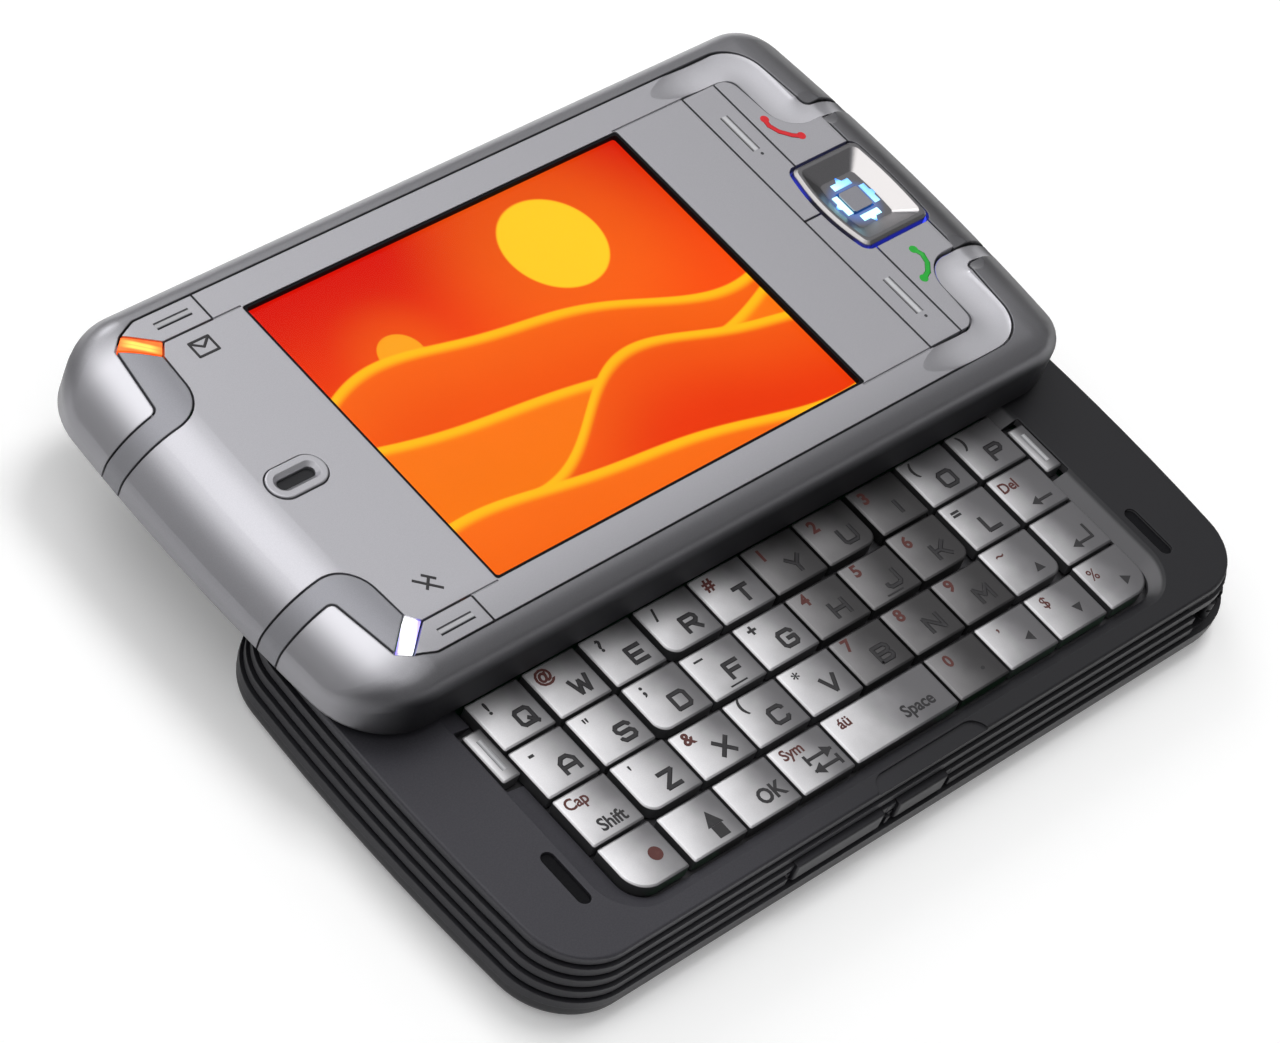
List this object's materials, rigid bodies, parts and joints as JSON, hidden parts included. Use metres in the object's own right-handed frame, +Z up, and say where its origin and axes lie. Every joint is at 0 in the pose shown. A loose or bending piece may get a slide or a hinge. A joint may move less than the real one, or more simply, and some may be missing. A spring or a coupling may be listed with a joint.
{
  "type": "side-sliding keyboard phone",
  "caption": "Slider phone with a touch screen on its upper half, which slides sideways off a keyboard.",
  "frame": {"origin": "centre of the base half's flat underside", "axes": "+X towards the navigation keys, +Y the way the display half slides open, +Z up"},
  "size_m": [0.1174, 0.0935, 0.0195],
  "materials": {
    "housing_plastic": "satin",
    "shell_plastic": "satin",
    "rim_paint": "satin metallic",
    "cover_paint": "satin metallic",
    "strip_paint": "satin metallic",
    "key_silver": "satin metallic",
    "key_graphite": "satin metallic",
    "nav_metal": "polished metallic",
    "steel": "satin",
    "black_rubber": "matt",
    "mat_rubber": "matt",
    "glass": "polished",
    "screen_module": "polished",
    "black_plastic": "gloss",
    "magnesium": "cast",
    "circuit_board": "satin",
    "battery_wrap": "satin",
    "lamp_amber": "frosted",
    "lamp_violet": "frosted",
    "lamp_blue": "frosted"
  },
  "bodies": {
    "base": {"lower_shell": "shell_plastic", "upper_housing": "housing_plastic", "battery": "battery_wrap", "battery_cover": "shell_plastic", "main_board": "circuit_board", "key_mat": "mat_rubber", "camera_module": "black_plastic", "camera_window": "glass", "loudspeaker": "black_plastic", "data_port": "steel", "case_screws": "steel", "bumper_pads": "black_rubber", "slide_plate": "steel"},
    "display_half": {"back_cover": "shell_plastic", "side_rim": "rim_paint", "front_cover": "cover_paint", "corner_strips": "strip_paint", "status_lamp_left": "lamp_amber", "status_lamp_right": "lamp_violet", "slide_rails": "steel", "mid_frame": "magnesium", "face_key_boards": "circuit_board", "lcd_module": "screen_module", "touch_panel": "glass", "screen_gasket": "black_rubber", "earpiece_ring": "nav_metal", "earpiece_receiver": "black_plastic", "nav_lamp_ring": "lamp_blue", "display_screws": "steel"},
    "keys_row1_letters_body": {"keys_row1_letters": "key_silver"},
    "keys_row1_numbers_body": {"keys_row1_numbers": "key_graphite"},
    "keys_row2_letters_body": {"keys_row2_letters": "key_silver"},
    "keys_row2_numbers_body": {"keys_row2_numbers": "key_graphite"},
    "key_delete_body": {"key_delete": "key_silver"},
    "key_shift_body": {"key_shift": "key_silver"},
    "keys_row3_letters_body": {"keys_row3_letters": "key_silver"},
    "keys_row3_numbers_body": {"keys_row3_numbers": "key_graphite"},
    "key_enter_body": {"key_enter": "key_silver"},
    "key_function_body": {"key_function": "key_silver"},
    "key_home_body": {"key_home": "key_silver"},
    "key_ok_body": {"key_ok": "key_silver"},
    "key_symbol_body": {"key_symbol": "key_silver"},
    "key_space_body": {"key_space": "key_silver"},
    "key_zero_body": {"key_zero": "key_graphite"},
    "keys_arrows_body": {"keys_arrows": "key_silver"},
    "wing_key_left_body": {"wing_key_left": "key_silver"},
    "wing_key_right_body": {"wing_key_right": "key_silver"},
    "top_key_left_body": {"top_key_left": "cover_paint"},
    "top_key_right_body": {"top_key_right": "cover_paint"},
    "soft_key_left_body": {"soft_key_left": "cover_paint"},
    "soft_key_right_body": {"soft_key_right": "cover_paint"},
    "call_key_body": {"call_key": "cover_paint"},
    "end_key_body": {"end_key": "cover_paint"},
    "nav_key_body": {"nav_key": "nav_metal"},
    "select_key_body": {"select_key": "nav_metal"},
    "volume_rocker_body": {"volume_rocker": "housing_plastic"},
    "shutter_key_body": {"shutter_key": "housing_plastic"},
    "stylus_body": {"stylus": "black_plastic"}
  },
  "joints": [
    {"name": "display_slide", "type": "slide", "parent": "base", "child": "display_half", "axis": [0, 1, 0], "range_m": [-0.0345, 0]},
    {"name": "keys_row1_letters_press", "type": "slide", "parent": "base", "child": "keys_row1_letters_body", "axis": [0, 0, -1], "range_m": [0, 0.0004], "stiffness_N_per_m": 3000},
    {"name": "keys_row1_numbers_press", "type": "slide", "parent": "base", "child": "keys_row1_numbers_body", "axis": [0, 0, -1], "range_m": [0, 0.0004], "stiffness_N_per_m": 3000},
    {"name": "keys_row2_letters_press", "type": "slide", "parent": "base", "child": "keys_row2_letters_body", "axis": [0, 0, -1], "range_m": [0, 0.0004], "stiffness_N_per_m": 3000},
    {"name": "keys_row2_numbers_press", "type": "slide", "parent": "base", "child": "keys_row2_numbers_body", "axis": [0, 0, -1], "range_m": [0, 0.0004], "stiffness_N_per_m": 3000},
    {"name": "key_delete_press", "type": "slide", "parent": "base", "child": "key_delete_body", "axis": [0, 0, -1], "range_m": [0, 0.0004], "stiffness_N_per_m": 3000},
    {"name": "key_shift_press", "type": "slide", "parent": "base", "child": "key_shift_body", "axis": [0, 0, -1], "range_m": [0, 0.0004], "stiffness_N_per_m": 3000},
    {"name": "keys_row3_letters_press", "type": "slide", "parent": "base", "child": "keys_row3_letters_body", "axis": [0, 0, -1], "range_m": [0, 0.0004], "stiffness_N_per_m": 3000},
    {"name": "keys_row3_numbers_press", "type": "slide", "parent": "base", "child": "keys_row3_numbers_body", "axis": [0, 0, -1], "range_m": [0, 0.0004], "stiffness_N_per_m": 3000},
    {"name": "key_enter_press", "type": "slide", "parent": "base", "child": "key_enter_body", "axis": [0, 0, -1], "range_m": [0, 0.0004], "stiffness_N_per_m": 3000},
    {"name": "key_function_press", "type": "slide", "parent": "base", "child": "key_function_body", "axis": [0, 0, -1], "range_m": [0, 0.0004], "stiffness_N_per_m": 3000},
    {"name": "key_home_press", "type": "slide", "parent": "base", "child": "key_home_body", "axis": [0, 0, -1], "range_m": [0, 0.0004], "stiffness_N_per_m": 3000},
    {"name": "key_ok_press", "type": "slide", "parent": "base", "child": "key_ok_body", "axis": [0, 0, -1], "range_m": [0, 0.0004], "stiffness_N_per_m": 3000},
    {"name": "key_symbol_press", "type": "slide", "parent": "base", "child": "key_symbol_body", "axis": [0, 0, -1], "range_m": [0, 0.0004], "stiffness_N_per_m": 3000},
    {"name": "key_space_press", "type": "slide", "parent": "base", "child": "key_space_body", "axis": [0, 0, -1], "range_m": [0, 0.0004], "stiffness_N_per_m": 3000},
    {"name": "key_zero_press", "type": "slide", "parent": "base", "child": "key_zero_body", "axis": [0, 0, -1], "range_m": [0, 0.0004], "stiffness_N_per_m": 3000},
    {"name": "keys_arrows_press", "type": "slide", "parent": "base", "child": "keys_arrows_body", "axis": [0, 0, -1], "range_m": [0, 0.0004], "stiffness_N_per_m": 3000},
    {"name": "wing_key_left_press", "type": "slide", "parent": "base", "child": "wing_key_left_body", "axis": [0, 0, -1], "range_m": [0, 0.0004], "stiffness_N_per_m": 3000},
    {"name": "wing_key_right_press", "type": "slide", "parent": "base", "child": "wing_key_right_body", "axis": [0, 0, -1], "range_m": [0, 0.0004], "stiffness_N_per_m": 3000},
    {"name": "top_key_left_press", "type": "slide", "parent": "display_half", "child": "top_key_left_body", "axis": [0, 0, -1], "range_m": [0, 0.00035], "stiffness_N_per_m": 3500},
    {"name": "top_key_right_press", "type": "slide", "parent": "display_half", "child": "top_key_right_body", "axis": [0, 0, -1], "range_m": [0, 0.00035], "stiffness_N_per_m": 3500},
    {"name": "soft_key_left_press", "type": "slide", "parent": "display_half", "child": "soft_key_left_body", "axis": [0, 0, -1], "range_m": [0, 0.00035], "stiffness_N_per_m": 3500},
    {"name": "soft_key_right_press", "type": "slide", "parent": "display_half", "child": "soft_key_right_body", "axis": [0, 0, -1], "range_m": [0, 0.00035], "stiffness_N_per_m": 3500},
    {"name": "call_key_press", "type": "slide", "parent": "display_half", "child": "call_key_body", "axis": [0, 0, -1], "range_m": [0, 0.00035], "stiffness_N_per_m": 3500},
    {"name": "end_key_press", "type": "slide", "parent": "display_half", "child": "end_key_body", "axis": [0, 0, -1], "range_m": [0, 0.00035], "stiffness_N_per_m": 3500},
    {"name": "nav_key_tilt", "type": "hinge", "parent": "display_half", "child": "nav_key_body", "pos_m": [0.04455, 0.0345, 0.01625], "axis": [0, 1, 0], "range_deg": [-2, 2], "stiffness_Nm_per_rad": 0.17},
    {"name": "select_key_press", "type": "slide", "parent": "display_half", "child": "select_key_body", "axis": [0, 0, -1], "range_m": [0, 0.00035], "stiffness_N_per_m": 3500},
    {"name": "volume_rocker_tilt", "type": "hinge", "parent": "base", "child": "volume_rocker_body", "pos_m": [-0.015, -0.0265, 0.0053], "axis": [0, 0, 1], "range_deg": [-2, 2], "stiffness_Nm_per_rad": 0.17},
    {"name": "shutter_key_press", "type": "slide", "parent": "base", "child": "shutter_key_body", "axis": [0, 1, 0], "range_m": [0, 0.00035], "stiffness_N_per_m": 3500},
    {"name": "stylus_draw", "type": "slide", "parent": "base", "child": "stylus_body", "axis": [1, 0, 0], "range_m": [0, 0.07]}
  ]
}
